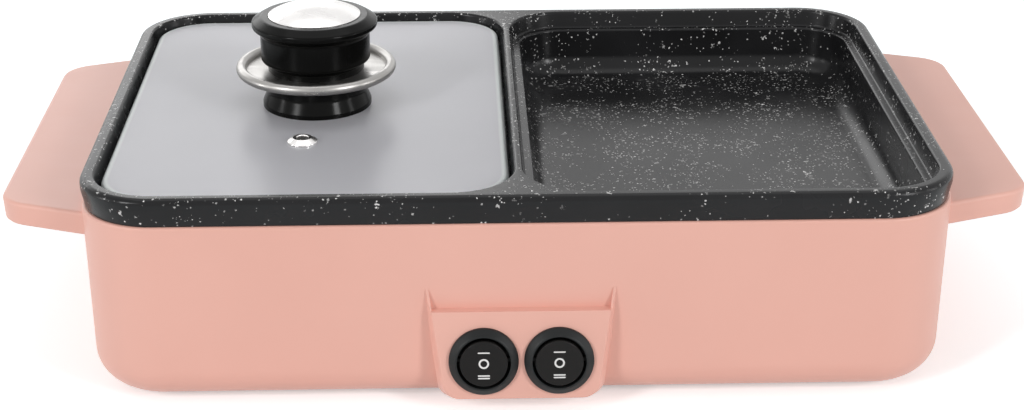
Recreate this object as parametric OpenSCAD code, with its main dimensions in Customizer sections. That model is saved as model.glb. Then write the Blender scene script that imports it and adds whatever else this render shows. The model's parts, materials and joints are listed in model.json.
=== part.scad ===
// Twin-well electric skillet.
// One cast pan with a deep pot well (left) and a shallow grill well (right) sits on a moulded
// housing. A flat glass lid rests in the left lid seat. Two three-way rocker switches on a front
// boss work the two heaters under the wells. Millimetres; +Z is up and the front faces -Y.

/* [Pan] */
// Width of the pan over its rim
pan_w = 296; // [284:1:310]
// Depth of the pan over its rim
pan_d = 204; // [196:1:214]
// Corner radius of the rim
rim_r = 27; // [26:0.5:29]
// Height of the rim above the table
rim_z = 78; // [76:0.5:84]
// Height of the skirt under the rim
skirt_h = 10; // [9.5:0.1:11]
// Inward slope of the skirt towards its lower edge
skirt_draft = 1.2; // [0.8:0.1:1.5]
// Width of the lip outside the lid seats
lip_w = 4.8; // [4.4:0.1:5.4]
// Depth of the lid seats below the rim
seat_h = 6.5; // [6:0.1:7]
// Inward slope of the lid seat's wall
seat_draft = 1.4; // [1:0.1:1.6]
// Width of the ledge that carries the lid
ledge_w = 3; // [2.6:0.1:3.4]
// Width of the ridge between the lid seats
ridge_w = 2.4; // [2.2:0.1:3.2]
// Depth of the pot well below the rim
pot_h = 41; // [38:0.5:41.5]
// Depth of the grill well below the rim
grill_h = 24.5; // [22:0.5:26]
// Inward slope of the well walls
well_draft = 1.5; // [1:0.1:2]
// Radius between the well walls and the floors
floor_r = 8; // [6:0.5:9]
// Wall thickness of the casting
cast_t = 3; // [2.6:0.1:3.4]

/* [Housing] */
// Wall thickness of the mouldings
wall_t = 2.5; // [2.2:0.1:2.8]
// Height of the feet under the housing
foot_h = 2; // [1.6:0.1:3]
// Inward slope of the walls towards the table
housing_draft = 1; // [0.6:0.1:1.6]
// Radius of the bottom edge
bottom_r = 13; // [11:0.5:14]
// Thickness of the base cover
cover_t = 2.4; // [2.2:0.1:2.8]
// Clearance round the base cover
cover_gap = 0.4; // [0.2:0.1:0.8]
// Reach of each side handle beyond the housing
handle_reach = 29.8; // [26:0.2:34]
// Length of a handle where it leaves the housing
handle_root = 162; // [150:1:168]
// Length of a handle at its outer edge, before rounding
handle_tip = 139; // [128:1:146]
// Thickness of the handles
handle_t = 8.3; // [7.5:0.1:10]
// Drop of the handle tops below the housing's edge
handle_drop = 2.8; // [2:0.1:5]
// Radius of the outer handle corners
handle_r = 13; // [10:0.5:15]

/* [Switches] */
// Height of the switch axes above the table
switch_z = 20.3; // [19.5:0.1:21.5]
// Distance between the switch axes
switch_pitch = 25.4; // [24.6:0.1:27]
// Backward lean of the switch panel in degrees
panel_tilt = 7.5; // [5:0.5:9]
// Reach of the panel in front of the housing at the switch axes
panel_reach = 5.2; // [4.6:0.1:6]
// Diameter of the bezels
bezel_d = 23.6; // [23:0.1:24]
// Diameter of the switch barrels
barrel_d = 20; // [19.6:0.1:20.4]
// Diameter of the rocker discs
rocker_d = 16.2; // [15.8:0.1:16.4]
// Radial clearance of the rocker pivots
pivot_gap = 0.05; // [0.03:0.01:0.08]

/* [Lid and knob] */
// Thickness of the glass
lid_t = 4; // [3.6:0.1:4.5]
// Clearance between the glass and the seat
lid_gap = 0.9; // [0.6:0.1:1.2]
// Distance of the knob in front of the pan's centre line
knob_y = -2.5; // [-8:0.5:0]
// Radius of the knob's grip
knob_r = 20; // [18:0.5:22]
// Radius of the knob's steel ring
ring_r = 29.3; // [26:0.1:32]
// Place of the steam vent beside the knob
vent_dx = -3; // [-5:0.5:4]
// Place of the steam vent in front of the knob
vent_dy = -41.5; // [-44:0.5:-35]

/* [Heating] */
// Diameter of the heater tubes
tube_d = 6.5; // [6:0.1:6.8]
// Half the distance between the legs of a heater
leg_x = 34; // [32:0.5:36]
// Clearance between a tube and its groove
tube_gap = 0.15; // [0.1:0.05:0.25]
// Thickness of the heat shields
shield_t = 0.6; // [0.5:0.1:0.9]

/* [Power inlet] */
// Place of the inlet across the back
inlet_x = 36; // [34:0.5:40]
// Height of the inlet's axis
inlet_z = 25; // [23.5:0.5:25.5]

/* [Hidden] */
$fn = 64;

// Heights of the casting
skirt_z = rim_z - skirt_h;
seat_z = rim_z - seat_h;
pot_z = rim_z - pot_h;
grill_z = rim_z - grill_h;
pot_under = pot_z - cast_t;
grill_under = grill_z - cast_t;

// Plan of the two lid seats and wells, which share their corner centres
seat_w = pan_w / 2 - lip_w - ridge_w / 2;
seat_d = pan_d - 2 * lip_w;
seat_r = rim_r - lip_w;
well_x = (pan_w / 2 - lip_w + ridge_w / 2) / 2;
foot_u = seat_r - seat_draft;
well_u = foot_u - ledge_w;

// Housing
house_w = pan_w;
house_d = pan_d - 1;
house_r = rim_r - 0.5;
cover_z = foot_h;
flange_z = foot_h + cover_t;
inside_z = flange_z + 2.2;
rebate_u = house_r - housing_draft - bottom_r - 3.5;
flange_u = rebate_u - 6;
cover_u = rebate_u - cover_gap;
handle_z = skirt_z - handle_drop;
post_y = house_d / 2 - house_r + rebate_u - 3.5;
post_x = house_w / 2 - house_r + rebate_u - 3;
post_u = house_w / 2 - 53;
post_at = [for (s = [-1, 1]) each [[-post_u, s * post_y], [post_u, s * post_y], [s * post_x, 0]]];
foot_x = house_w / 2 - 38;
foot_y = house_d / 2 - 39.5;
foot_at = [for (s = [-1, 1]) each [[-foot_x, s * foot_y], [foot_x, s * foot_y]]];
foot_plug_r = 2.5;
foot_plug_gap = 0.05;

// Heater line: two legs along Y from leg_front, joined by a half ring about ring_y
leg_front = 42 - pan_d / 2;
ring_y = pan_d / 2 - 84;
stat_y = (leg_front + ring_y) / 2 + 3.5;
bar_y = [stat_y - 22.5, stat_y + 22.5];

// Screw columns between the base cover and the casting
column_y = [leg_front - 2, pan_d / 2 - 32];
column_drop = 12;
screw_l = 22;

// Switch panel
panel_y = -house_d / 2 - panel_reach;
panel_t = 2.4;
barrel_l = 14;
bezel_h = 2.8;
pocket_r = barrel_d / 2 - 0.9;
pivot_n = -1.5;
rocker_n = 3.4;
shelf_z = switch_z + 17.2;

// Inlet
pad_y = house_d / 2 + 0.9;
inlet_flange_t = 3;
inlet_l = 22;
inlet_head_h = 1.9;

// Lid stack
lid_z = seat_z + lid_t;
base_top = lid_z + 12.6;
ring_t = 1.2;
roll_r = 1.9;
roll_drop = 0.3;
ring_top = base_top + ring_t;
cap_z = ring_top + 19.2;

// The part stands with the middle of its outline over the origin
front_reach = -panel_y + rocker_d / 2 * sin(panel_tilt) + rocker_n * cos(panel_tilt);
rear_reach = pad_y + inlet_flange_t + inlet_head_h;
shift_y = (front_reach - rear_reach) / 2;

// Rounded outlines: each corner of the list takes the radius of the same place in r
function unit(v) = v / norm(v);
function pt(l, i) = l[(i + len(l)) % len(l)];
function back(l, i) = unit(pt(l, i - 1) - pt(l, i));
function ahead(l, i) = unit(pt(l, i + 1) - pt(l, i));
function half_turn(l, i) = acos(back(l, i) * ahead(l, i)) / 2;
function run_in(l, r, i) = r[i] / tan(half_turn(l, i));
function hub(l, r, i) = l[i] + unit(back(l, i) + ahead(l, i)) * r[i] / sin(half_turn(l, i));
function touch_a(l, r, i) = l[i] + back(l, i) * run_in(l, r, i);
function touch_b(l, r, i) = l[i] + ahead(l, i) * run_in(l, r, i);
function convex(l, i) = cross(l[i] - pt(l, i - 1), pt(l, i + 1) - l[i]) > 0;

module rounded(l, r) {
    polygon([for (i = [0 : len(l) - 1])
        each (r[i] > 0 && convex(l, i) ? [touch_a(l, r, i), touch_b(l, r, i)] : [l[i]])]);
    for (i = [0 : len(l) - 1])
        if (r[i] > 0) {
            if (convex(l, i))
                intersection() {
                    translate(hub(l, r, i)) circle(r = r[i]);
                    polygon([touch_a(l, r, i), l[i] * 2 - hub(l, r, i), touch_b(l, r, i)]);
                }
            else
                difference() {
                    polygon([touch_a(l, r, i), touch_b(l, r, i), l[i] * 2 - hub(l, r, i)]);
                    translate(hub(l, r, i)) circle(r = r[i]);
                }
        }
}

function box_outline(w, d) = [[-w / 2, -d / 2], [w / 2, -d / 2], [w / 2, d / 2], [-w / 2, d / 2]];

module rounded_box(w, d, r) {
    rounded(box_outline(w, d), [r, r, r, r]);
}

// A section carried round the corner centres c: its x runs outwards, its y upwards
function corner_hubs(w, d, r) = [[w / 2 - r, r - d / 2], [w / 2 - r, d / 2 - r],
    [r - w / 2, d / 2 - r], [r - w / 2, r - d / 2]];
function heading(c, i) = let (d = pt(c, i + 1) - pt(c, i)) atan2(d[1], d[0]) - 90;
function swing(c, i) = let (t = heading(c, i + 1) - heading(c, i)) t < 0 ? t + 360 : t;

module carried_round(c) {
    for (i = [0 : len(c) - 1])
        translate(pt(c, i + 1)) rotate(heading(c, i)) {
            rotate([90, 0, 0]) linear_extrude(norm(pt(c, i + 1) - pt(c, i))) children();
            rotate_extrude(angle = swing(c, i)) children();
        }
}

// The same, filled between the heights z0 and z1 inside the corner centres
module filled_round(c, z0, z1) {
    carried_round(c) children();
    translate([0, 0, z0]) linear_extrude(z1 - z0) polygon(c);
}

rim_hubs = corner_hubs(pan_w, pan_d, rim_r);
seat_hubs = corner_hubs(seat_w, seat_d, seat_r);
house_hubs = corner_hubs(house_w, house_d, house_r);

// Screw with a domed head below z = 0 and its shank above
module screw(shank_r, shank_l, head_r, head_h) {
    difference() {
        rotate_extrude() rounded([[0, -head_h], [head_r * 0.6, -head_h], [head_r, -head_h * 0.3],
            [head_r, 0], [shank_r, 0], [shank_r, shank_l], [0, shank_l]], [0, 0, 0, 0, 0, 0, 0]);
        for (a = [0, 90])
            rotate(a) translate([0, 0, -head_h]) cube([head_r, 0.9, head_h], center = true);
    }
}

module heater_line(r) {
    for (s = [-1, 1])
        translate([s * leg_x, ring_y, 0]) rotate([90, 0, 0]) cylinder(r = r, h = ring_y - leg_front);
    translate([0, ring_y, 0]) rotate_extrude(angle = 180) translate([leg_x, 0]) circle(r = r);
}

module heater_rib(half) {
    for (s = [-1, 1])
        translate([s * leg_x - half, leg_front + 4]) square([2 * half, ring_y - leg_front - 4]);
    translate([0, ring_y]) difference() {
        circle(r = leg_x + half);
        circle(r = leg_x - half);
        translate([-100, -100]) square([200, 100]);
    }
}

groove_web = 0.3;
tube_drop = tube_d / 2 + tube_gap + groove_web;
bar_drop = tube_drop + tube_d / 2 + 0.1;
bar_t = 1.5;
stat_ear = 4;
earth_at = [2 - leg_x, column_y[1]];
earth_drop = 6.5;
tab_l = 7;
sleeve_l = 8.5;

// Pan: rim block and tubs, cut by the seats and wells, with the fixings cast underneath
module well_cut(x, z) {
    translate([x, 0, 0]) filled_round(seat_hubs, z, rim_z + 2)
        rounded([[0, z], [well_u - well_draft, z], [well_u, seat_z], [foot_u, seat_z],
            [seat_r, rim_z + 0.1], [seat_r + 3, rim_z + 0.1], [seat_r + 3, rim_z + 2], [0, rim_z + 2]],
            [0, floor_r, 0.9, 0.8, 1.4, 0, 0, 0]);
}

module tub(x, z) {
    translate([x, 0, 0]) filled_round(seat_hubs, z - cast_t, skirt_z + 1)
        rounded([[0, z - cast_t], [well_u - well_draft + cast_t, z - cast_t],
            [well_u + cast_t, skirt_z + 1], [0, skirt_z + 1]], [0, floor_r + cast_t, 0, 0]);
}

module underside(x, z) {
    translate([x, 0, z]) difference() {
        union() {
            for (y = column_y) translate([0, y, -column_drop]) cylinder(r = 5.5, h = column_drop + 1);
            for (y = bar_y) translate([0, y, -bar_drop]) cylinder(r = 4.5, h = bar_drop + 1);
            for (s = [-1, 1])
                translate([12 * s, stat_y, -stat_ear]) cylinder(r = 3, h = stat_ear + 1);
            translate([0, 0, -tube_drop]) linear_extrude(tube_drop + 0.5) heater_rib(tube_d);
        }
        for (y = column_y) translate([0, y, -column_drop - 1]) cylinder(r = 2, h = column_drop);
        for (y = bar_y) translate([0, y, -bar_drop - 1]) cylinder(r = 1.6, h = bar_drop);
        for (s = [-1, 1]) translate([12 * s, stat_y, -stat_ear - 1]) cylinder(r = 1.3, h = stat_ear);
        translate([0, 0, -tube_drop]) heater_line(tube_d / 2 + tube_gap);
    }
}

module pan() {
    color([0.13, 0.13, 0.14]) {
        difference() {
            union() {
                filled_round(rim_hubs, skirt_z, rim_z)
                    rounded([[0, skirt_z], [rim_r - skirt_draft, skirt_z], [rim_r, rim_z - 4],
                        [rim_r, rim_z], [0, rim_z]], [0, 0.6, 0, 2.2, 0]);
                tub(-well_x, pot_z);
                tub(well_x, grill_z);
            }
            well_cut(-well_x, pot_z);
            well_cut(well_x, grill_z);
        }
        underside(-well_x, pot_under);
        underside(well_x, grill_under);
        translate([well_x + earth_at[0], earth_at[1], grill_under - earth_drop]) difference() {
            cylinder(r = 4, h = earth_drop + 0.5);
            translate([0, 0, -1]) cylinder(r = 1.6, h = earth_drop);
        }
    }
}

// Switch panel: z = 0 is its front face, y runs up the face, the origin is between the switches
module on_panel(x = 0) {
    translate([0, panel_y, switch_z]) rotate([90 - panel_tilt, 0, 0]) translate([x, 0, 0]) children();
}

boss_low = -14.6;
boss_high = 26;
boss_slope = 0.117;
boss_half = switch_pitch / 2 + bezel_d / 2 + 5.6;
boss_draft = 1.6;
boss_edge = 0.9;
boss_root = 5;
ear_t = 2;
ear_h = 8.5;

function boss_outline(inset) = [
    [-boss_half - boss_slope * boss_low * 0.6 + inset + 1.4, boss_low + inset / 2],
    [boss_half + boss_slope * boss_low * 0.6 - inset - 1.4, boss_low + inset / 2],
    [boss_half + boss_slope * boss_high - inset, boss_high],
    [-boss_half - boss_slope * boss_high + inset, boss_high]];

// The sides draw in from the root to a rounded front edge and run out as two thin ears over the shelf
module boss_solid() {
    difference() {
        on_panel() hull() {
            translate([0, 0, -15]) linear_extrude(15 - boss_root) rounded(boss_outline(0), [6, 6, 0, 0]);
            for (a = [0 : 22.5 : 90])
                translate([0, 0, boss_edge * (sin(a) - 1) - 0.02]) linear_extrude(0.02)
                    rounded(boss_outline(boss_draft + boss_edge * (1 - cos(a))), [6, 6, 0, 0]);
        }
        intersection() {
            on_panel() translate([0, 0, -16]) linear_extrude(40) polygon(boss_outline(ear_t));
            translate([-60, panel_y - 20, shelf_z]) cube([120, 60, 40]);
        }
        translate([-60, 0, 0]) rotate([90, 0, 90]) linear_extrude(120)
            polygon([[panel_y - 20, shelf_z], [panel_y + 3.2, shelf_z],
                [-house_d / 2 + 0.6, shelf_z + ear_h], [panel_y + 40, shelf_z + ear_h],
                [panel_y + 40, shelf_z + 40], [panel_y - 20, shelf_z + 40]]);
    }
}

module boss_cut() {
    difference() {
        on_panel() translate([0, 0, -15.5]) linear_extrude(15.5 - panel_t)
            rounded(boss_outline(wall_t + boss_draft), [3.5, 3.5, 0, 0]);
        translate([-60, panel_y - 20, shelf_z - wall_t]) cube([120, 60, 40]);
    }
    for (s = [-1, 1])
        on_panel(s * switch_pitch / 2) translate([0, 0, -panel_t - 1])
            cylinder(d = barrel_d + 0.2, h = panel_t + 2);
}

// Handle: a flat tab, hollow underneath between ribs
handle_lean = atan((handle_root - handle_tip) / 2 / handle_reach);
handle_x = house_w / 2 + handle_reach;

function handle_line(x, r) = handle_root / 2 - (x - house_w / 2) * tan(handle_lean) - r / cos(handle_lean);

handle_hubs = [[house_w / 2 - 12, -handle_line(house_w / 2 - 12, handle_r)],
    [handle_x - handle_r, -handle_line(handle_x - handle_r, handle_r)],
    [handle_x - handle_r, handle_line(handle_x - handle_r, handle_r)],
    [house_w / 2 - 12, handle_line(house_w / 2 - 12, handle_r)]];

module handle_solid() {
    edge = 1.4;
    hull() for (h = handle_hubs) translate(h) rotate_extrude($fn = 32)
        polygon([[0, handle_z - handle_t], [handle_r - 1, handle_z - handle_t],
            [handle_r - 0.4, handle_z - handle_t + 0.6],
            for (a = [0 : 22.5 : 90]) [handle_r - edge + edge * cos(a), handle_z - edge + edge * sin(a)],
            [0, handle_z]]);
}

module handle_cut() {
    x0 = house_w / 2 + 2;
    x1 = handle_x - 2.4;
    r = handle_r - 2.4;
    difference() {
        translate([0, 0, handle_z - handle_t - 1]) linear_extrude(handle_t + 1 - 2.4)
            rounded([[x0, -handle_line(x0, 2.4)], [x1, -handle_line(x1, 2.4)],
                [x1, handle_line(x1, 2.4)], [x0, handle_line(x0, 2.4)]], [2, r, r, 2]);
        for (i = [-1.5 : 1.5])
            translate([house_w / 2, i * handle_tip / 5 - 0.9, handle_z - handle_t + 1])
                cube([handle_reach, 1.8, handle_t]);
    }
}

// Inlet frame: z = 0 is the seat on the back pad, z runs backwards out of the housing
module on_back() {
    translate([inlet_x, pad_y, inlet_z]) rotate([-90, 0, 0]) children();
}

inlet_w = 27.4;
inlet_h = 20.4;

module housing() {
    color([0.92, 0.7, 0.65]) difference() {
        union() {
            difference() {
                union() {
                    filled_round(house_hubs, foot_h, skirt_z)
                        rounded([[0, foot_h], [house_r - housing_draft, foot_h], [house_r, skirt_z],
                            [0, skirt_z]], [0, bottom_r, 0.9, 0]);
                    boss_solid();
                    for (a = [0, 180]) rotate(a) handle_solid();
                    on_back() translate([0, 0, -6]) linear_extrude(6) rounded_box(54, 28, 5);
                }
                filled_round(house_hubs, foot_h - 1, skirt_z + 1)
                    rounded([[0, foot_h - 1], [rebate_u, foot_h - 1], [rebate_u, flange_z],
                        [flange_u, flange_z], [flange_u, inside_z],
                        [house_r - housing_draft - wall_t, inside_z], [house_r - wall_t, skirt_z + 1],
                        [0, skirt_z + 1]], [0, 0, 0, 0, 0, bottom_r - 4, 0, 0]);
                boss_cut();
                for (a = [0, 180]) rotate(a) handle_cut();
            }
            for (p = post_at) translate([p[0], p[1], flange_z]) cylinder(r = 4, h = 11);
        }
        for (p = post_at) translate([p[0], p[1], flange_z - 1]) cylinder(r = 1.5, h = 11);
        on_back() translate([0, 0, -12]) linear_extrude(20)
            square([inlet_w + 0.4, inlet_h + 0.4], center = true);
        for (s = [-1, 1]) on_back() translate([20 * s, 0, -8]) cylinder(r = 1.4, h = 12);
    }
}

// Base cover with the columns for the long screws, vents and foot holes
module column(x, z) {
    translate([x, 0, cover_z]) for (y = column_y) translate([0, y, 0]) cylinder(r = 5.5, h = z - cover_z);
}

module column_bore(x, z) {
    for (y = column_y) translate([x, y, 0]) {
        cylinder(r = 2.2, h = z + 1);
        cylinder(r = 3.9, h = z - 12);
    }
}

pot_column = pot_under - column_drop - shield_t;
grill_column = grill_under - column_drop - shield_t;

module base_cover() {
    color([0.88, 0.66, 0.61]) difference() {
        union() {
            filled_round(house_hubs, cover_z, flange_z) polygon([[0, cover_z], [cover_u, cover_z],
                [cover_u, flange_z], [0, flange_z]]);
            column(-well_x, pot_column);
            column(well_x, grill_column);
        }
        column_bore(-well_x, pot_column);
        column_bore(well_x, grill_column);
        for (p = post_at) translate([p[0], p[1], 0]) {
            cylinder(r = 1.8, h = 10);
            cylinder(r = 3.3, h = cover_z + 1.4);
        }
        for (p = foot_at) translate([p[0], p[1], 0]) cylinder(r = foot_plug_r + foot_plug_gap, h = 10);
        for (i = [-4 : 4])
            translate([9 * i, -8, 0]) linear_extrude(10) {
                square([3, 30], center = true);
                for (s = [-15, 15]) translate([0, s]) circle(r = 1.5);
            }
    }
}

module rubber_feet() {
    color([0.2, 0.2, 0.2]) for (p = foot_at) translate([p[0], p[1], 0])
        rotate_extrude() rounded([[0, 0], [8, 0], [8, foot_h], [foot_plug_r, foot_h],
            [foot_plug_r, flange_z], [foot_plug_r + 0.9, flange_z], [foot_plug_r - 0.3, flange_z + 2.2],
            [0, flange_z + 2.2]], [0, 0.8, 0, 0, 0, 0, 0, 0]);
}

module base_screws() {
    color([0.7, 0.7, 0.72]) for (p = post_at) translate([p[0], p[1], cover_z + 1.4])
        screw(1.45, 9, 2.9, 1.2);
}

module pan_screws() {
    color([0.7, 0.7, 0.72]) {
        for (y = column_y) translate([-well_x, y, pot_column - 12]) screw(1.95, screw_l, 3.5, 2.6);
        for (y = column_y) translate([well_x, y, grill_column - 12]) screw(1.95, screw_l, 3.5, 2.6);
    }
}

// Heaters under the wells
module pot_heater() {
    color([0.5, 0.48, 0.45]) translate([-well_x, 0, pot_under - tube_drop]) heater_line(tube_d / 2);
}

module grill_heater() {
    color([0.5, 0.48, 0.45]) translate([well_x, 0, grill_under - tube_drop]) heater_line(tube_d / 2);
}

module at_heater_ends() {
    for (e = [[-well_x, pot_under], [well_x, grill_under]])
        for (s = [-1, 1])
            translate([e[0] + s * leg_x, leg_front, e[1] - tube_drop]) rotate([90, 0, 0]) children();
}

module heater_beads() {
    color([0.93, 0.91, 0.86]) at_heater_ends() difference() {
        cylinder(r = 2.6, h = 4);
        translate([0, 0, -1]) cylinder(r = 1.4, h = 6);
    }
}

module heater_pins() {
    color([0.72, 0.7, 0.66]) at_heater_ends() {
        cylinder(r = 1.4, h = 9);
        translate([-3.15, -0.4, 8]) cube([6.3, 0.8, tab_l]);
    }
}

module heater_bars() {
    color([0.68, 0.68, 0.7]) for (e = [[-well_x, pot_under], [well_x, grill_under]])
        for (y = bar_y)
            translate([e[0], y, e[1] - bar_drop - bar_t]) linear_extrude(bar_t) difference() {
                rounded_box(2 * leg_x + 12, 12, 3);
                circle(r = 1.9);
            }
}

module bar_screws() {
    color([0.7, 0.7, 0.72]) for (e = [[-well_x, pot_under], [well_x, grill_under]])
        for (y = bar_y) translate([e[0], y, e[1] - bar_drop - bar_t]) screw(1.55, 6.5, 3, 2);
}

shield_w = 2 * leg_x + 36;
shield_d = pan_d - 52;

module shield(x, z, notch) {
    translate([x, 0, z - column_drop - shield_t]) linear_extrude(shield_t) difference() {
        translate([0, 2]) rounded_box(shield_w, shield_d, 8);
        for (y = column_y) translate([0, y]) circle(r = 2.3);
        translate([0, stat_y]) circle(r = 15);
        if (notch) translate([earth_at[0], earth_at[1] + 5]) square([18, 26], center = true);
        for (s = [-1, 1]) translate([s * leg_x, leg_front - 10]) square([14, 20], center = true);
    }
}

module pot_shield() {
    color([0.78, 0.78, 0.76]) shield(-well_x, pot_under, false);
}

module grill_shield() {
    color([0.78, 0.78, 0.76]) shield(well_x, grill_under, true);
}

// Disc thermostats against the floors, held by two ears
stat_h = 11;

module thermostat(x, z) {
    translate([x, stat_y, z]) difference() {
        union() {
            translate([0, 0, -stat_ear]) cylinder(r = 8.3, h = stat_ear);
            translate([0, 0, -stat_h]) cylinder(r = 7.8, h = stat_h - stat_ear);
            translate([0, 0, -stat_ear - 0.8]) linear_extrude(0.8) {
                square([24, 7], center = true);
                for (s = [-1, 1]) translate([12 * s, 0]) circle(r = 3.5);
            }
        }
        for (s = [-1, 1]) translate([12 * s, 0, -stat_ear - 2]) cylinder(r = 1.6, h = 4);
    }
}

module pot_thermostat() {
    color([0.6, 0.55, 0.45]) thermostat(-well_x, pot_under);
}

module grill_thermostat() {
    color([0.6, 0.55, 0.45]) thermostat(well_x, grill_under);
}

module thermostat_tabs() {
    color([0.8, 0.72, 0.45]) for (e = [[-well_x, pot_under], [well_x, grill_under]])
        for (s = [-1, 1]) translate([e[0] + 4.5 * s - 0.4, stat_y - 3.15, e[1] - stat_h - tab_l])
            cube([0.8, 6.3, tab_l]);
}

module thermostat_screws() {
    color([0.7, 0.7, 0.72]) for (e = [[-well_x, pot_under], [well_x, grill_under]])
        for (s = [-1, 1]) translate([e[0] + 12 * s, stat_y, e[1] - stat_ear - 0.8])
            screw(1.25, 3.4, 2.4, 1.6);
}

// Round rocker switch
module switch_shell() {
    difference() {
        union() {
            rotate_extrude() rounded([[0, -barrel_l], [barrel_d / 2, -barrel_l], [barrel_d / 2, 0],
                [bezel_d / 2, 0], [bezel_d / 2, 1], [pocket_r + 0.5, bezel_h], [0, bezel_h]],
                [0, 0.8, 0, 0, 0.8, 0.7, 0]);
            for (a = [0, 180]) rotate([90, 0, a]) linear_extrude(5, center = true)
                polygon([[barrel_d / 2 - 0.5, -panel_t - 0.2], [barrel_d / 2 + 0.8, -panel_t - 0.2],
                    [barrel_d / 2 + 0.8, -panel_t - 0.8], [barrel_d / 2 - 0.5, -panel_t - 5]]);
        }
        translate([0, 0, -7]) cylinder(r = pocket_r, h = 20);
        translate([0, 0, pivot_n]) rotate([0, 90, 0])
            cylinder(r = 1.2 + pivot_gap, h = barrel_d - 0.4, center = true);
    }
}

module rocker() {
    difference() {
        rotate_extrude() rounded([[0, 0.4], [rocker_d / 2 - 0.3, 0.4], [rocker_d / 2, rocker_n],
            [0, rocker_n]], [0, 0.5, 0.6, 0]);
        translate([0, 0, rocker_n + 39.5]) rotate([0, 90, 0])
            cylinder(r = 40, h = 40, center = true);
    }
    translate([-4.2, -3.4, pivot_n - 2.7]) cube([8.4, 6.8, 5]);
    translate([0, 0, pivot_n]) rotate([0, 90, 0]) cylinder(r = 1.2, h = barrel_d - 0.6, center = true);
}

module left_switch() {
    color([0.14, 0.14, 0.15]) on_panel(-switch_pitch / 2) switch_shell();
}

module right_switch() {
    color([0.14, 0.14, 0.15]) on_panel(switch_pitch / 2) switch_shell();
}

module left_rocker() {
    color([0.1, 0.1, 0.11]) on_panel(-switch_pitch / 2) rocker();
}

module right_rocker() {
    color([0.1, 0.1, 0.11]) on_panel(switch_pitch / 2) rocker();
}

module switch_tabs() {
    color([0.8, 0.72, 0.45]) for (s = [-1, 1]) for (v = [-5, 0, 5])
        on_panel(s * switch_pitch / 2) translate([-2.4, v - 0.4, -barrel_l - tab_l]) cube([4.8, 0.8, tab_l]);
}

// Power inlet at the back
cavity_w = 24.2;
cavity_h = 16.6;
cavity_l = 18;
pin_at = [[-7, -2], [7, -2], [0, 2]];

module inlet_cavity() {
    rounded([[-cavity_w / 2, -cavity_h / 2], [cavity_w / 2, -cavity_h / 2], [cavity_w / 2, 3],
        [cavity_w / 2 - 5, cavity_h / 2], [5 - cavity_w / 2, cavity_h / 2], [-cavity_w / 2, 3]],
        [1, 1, 1, 1, 1, 1]);
}

module power_inlet() {
    color([0.12, 0.12, 0.13]) on_back() difference() {
        union() {
            linear_extrude(inlet_flange_t) rounded_box(50, 24, 4);
            translate([0, 0, -inlet_l]) linear_extrude(inlet_l) rounded_box(inlet_w, inlet_h, 1.5);
        }
        translate([0, 0, inlet_flange_t - cavity_l]) linear_extrude(cavity_l + 1) inlet_cavity();
        for (s = [-1, 1]) translate([20 * s, 0, -1]) cylinder(r = 1.8, h = 8);
        for (p = pin_at) translate([p[0] - 1, p[1] - 2, -inlet_l - 1]) cube([2, 4, 12]);
    }
}

module inlet_pins() {
    color([0.8, 0.8, 0.78]) on_back() for (p = pin_at) {
        translate([p[0] - 1, p[1] - 2, -inlet_l]) cube([2, 4, inlet_l - 4]);
        translate([p[0] - 0.4, p[1] - 3.15, -inlet_l - tab_l]) cube([0.8, 6.3, tab_l]);
    }
}

module inlet_screws() {
    color([0.3, 0.3, 0.32]) on_back() for (s = [-1, 1])
        translate([20 * s, 0, inlet_flange_t]) rotate([180, 0, 0]) screw(1.35, 9.5, 2.9, inlet_head_h);
}

// Earth tag and its screw under the grill well
module earth_tag() {
    color([0.8, 0.72, 0.45])
        translate([well_x + earth_at[0], earth_at[1], grill_under - earth_drop - 0.8]) linear_extrude(0.8)
            difference() {
                union() {
                    circle(r = 4);
                    translate([-3.15, 0]) square([6.3, 14]);
                }
                circle(r = 1.9);
            }
}

module earth_screw() {
    color([0.7, 0.7, 0.72])
        translate([well_x + earth_at[0], earth_at[1], grill_under - earth_drop - 0.8])
            screw(1.55, 5, 3.2, 2.2);
}

// Push-on sleeves over the used tabs: z = 0 is the root of a tab that points along z
module sleeve(w) {
    difference() {
        translate([-w / 2 - 0.8, -1.6, 1]) cube([w + 1.6, 3.2, sleeve_l - 1]);
        translate([-w / 2 - 0.05, -0.45, 0]) cube([w + 0.1, 0.9, tab_l + 0.05]);
    }
}

module lead_sleeves() {
    color([0.85, 0.82, 0.78]) {
        at_heater_ends() translate([0, 0, 8]) sleeve(6.3);
        for (e = [[-well_x, pot_under], [well_x, grill_under]])
            for (s = [-1, 1])
                translate([e[0] + 4.5 * s, stat_y, e[1] - stat_h]) rotate([180, 0, 90]) sleeve(6.3);
        for (s = [-1, 1]) for (v = [0, 5])
            on_panel(s * switch_pitch / 2) translate([0, v, -barrel_l]) rotate([180, 0, 0]) sleeve(4.8);
        on_back() for (p = pin_at)
            translate([p[0], p[1], -inlet_l]) rotate([180, 0, 90]) sleeve(6.3);
        translate([well_x + earth_at[0], earth_at[1] + 7, grill_under - earth_drop - 0.4])
            rotate([-90, 0, 0]) sleeve(6.3);
    }
}

// Leads: a round section carried along a smooth line through the points
lead_r = 1.1;
lead_n = 8;
lead_gap = 0.3;
lead_root = sleeve_l + lead_gap;

function blend(a, b, c, d, t) = ((2 * b) + (c - a) * t + (2 * a - 5 * b + 4 * c - d) * t * t
    + (3 * b - a - 3 * c + d) * t * t * t) / 2;
function far(p, i) = i < 0 ? 2 * p[0] - p[1] : i >= len(p) ? 2 * p[len(p) - 1] - p[len(p) - 2] : p[i];
function smooth(p) = [for (i = [0 : len(p) - 2]) for (t = [0 : 0.25 : 0.76])
    blend(far(p, i - 1), p[i], p[i + 1], far(p, i + 2), t), p[len(p) - 1]];
function along(q) = [for (i = [0 : len(q) - 1]) unit(far(q, i + 1) - far(q, i - 1))];
function carry(t, u, i = 0) = i == len(t) ? [] : let (v = unit(u - t[i] * (u * t[i])))
    concat([v], carry(t, v, i + 1));

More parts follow.
